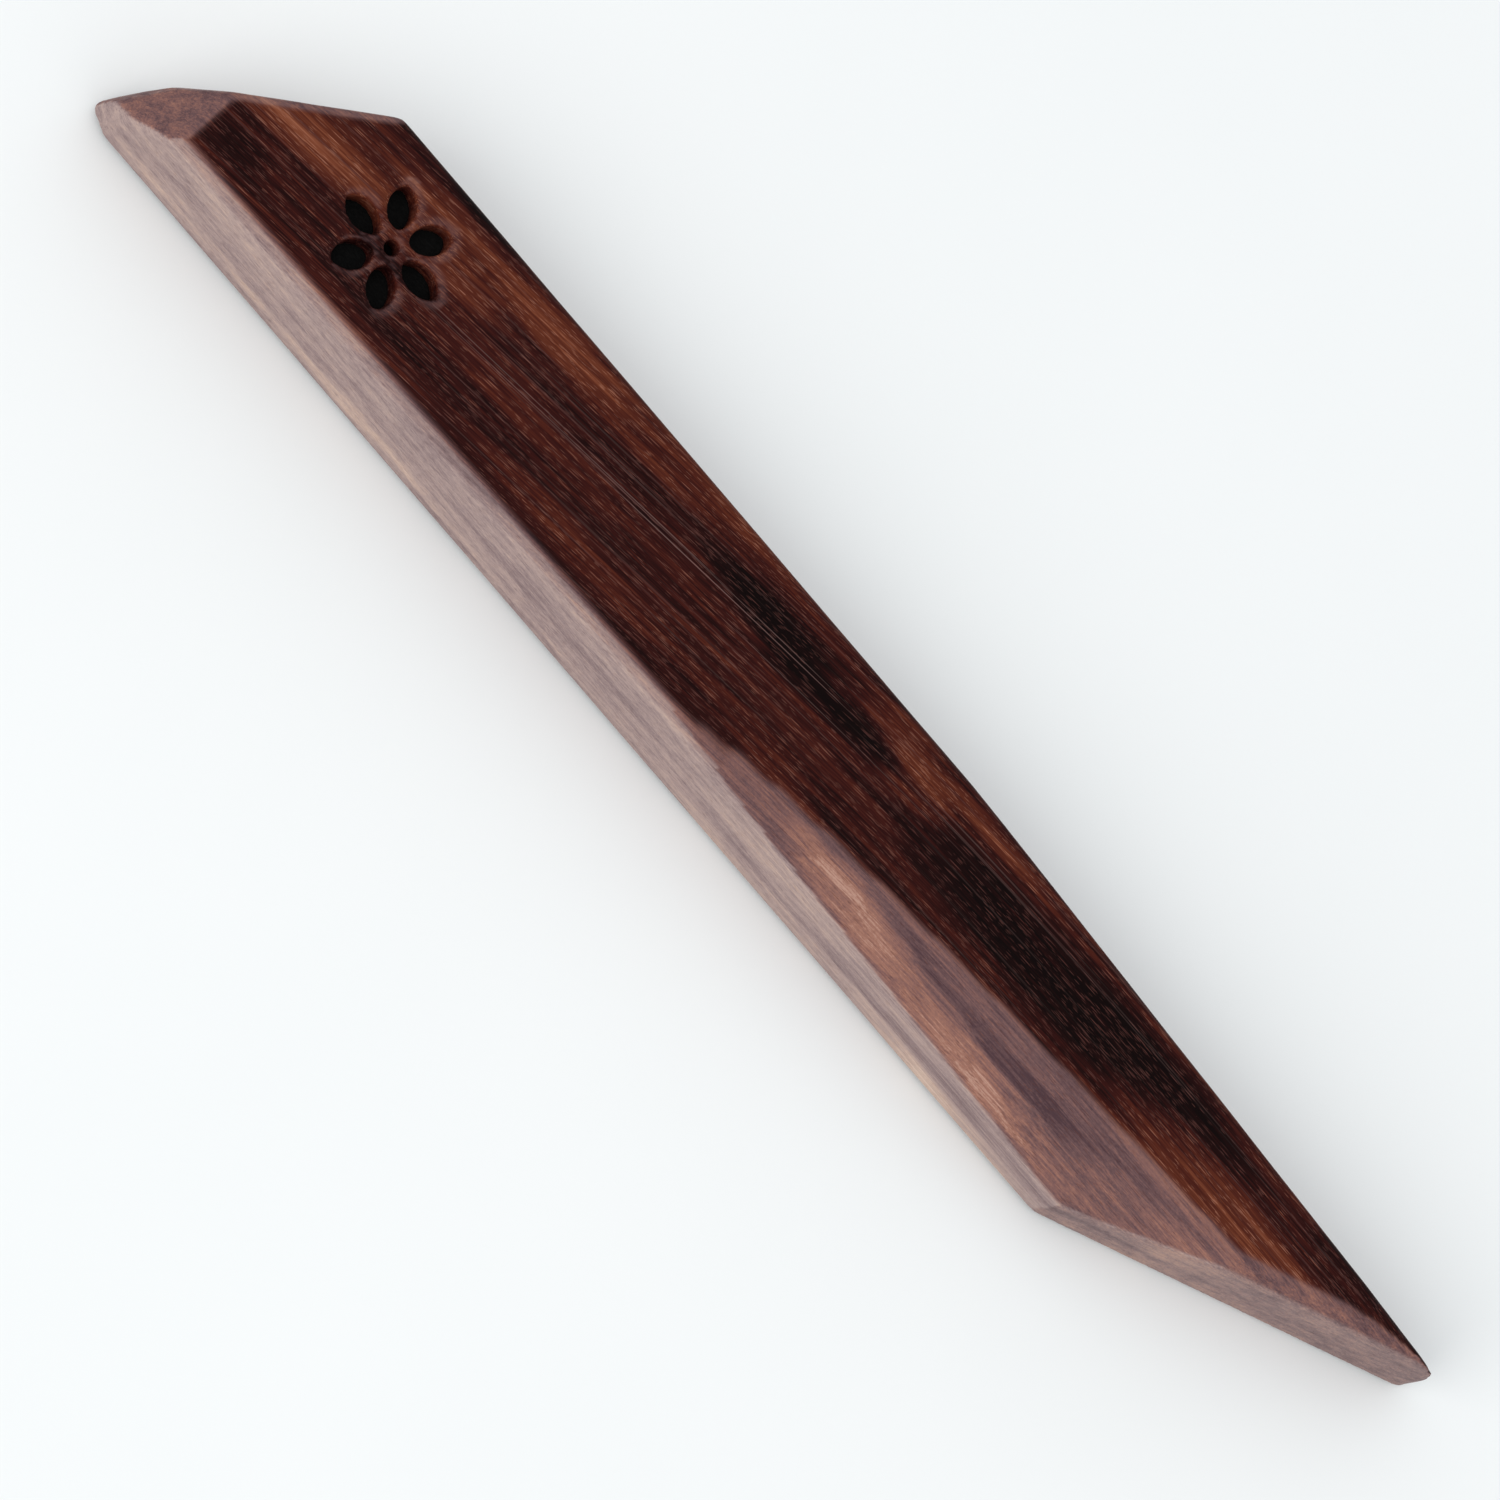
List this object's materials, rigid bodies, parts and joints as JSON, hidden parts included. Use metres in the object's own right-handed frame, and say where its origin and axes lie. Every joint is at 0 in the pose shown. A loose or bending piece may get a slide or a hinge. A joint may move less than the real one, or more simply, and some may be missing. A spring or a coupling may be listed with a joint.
{
  "type": "wooden doorpost scroll case",
  "caption": "Flat hardwood case with oblique faceted ends and a pierced rosette; holds a rolled scroll behind a screwed back plate, for sticking to a doorpost.",
  "frame": {"origin": "centre of the bounding box at the bottom, on the plane of the tape strips' outer faces", "axes": "+X along the bar from the pierced head end to the foot end, +Y towards the edge without the long facet, +Z out of the front face"},
  "size_m": [0.196, 0.022, 0.013],
  "materials": {
    "dark_hardwood": "oiled satin, dark purple-brown with orange-brown streaks",
    "plate_wood": "sanded, oiled",
    "brass": "machined",
    "black_card": "matte",
    "parchment": "matte, blank",
    "foam_tape": "matte foam with a smooth adhesive face"
  },
  "bodies": {
    "case": {"case": "dark_hardwood", "cover": "plate_wood", "cover_screws": "brass", "backing_disc": "black_card", "scroll": "parchment", "tape_pads": "foam_tape"}
  },
  "joints": []
}
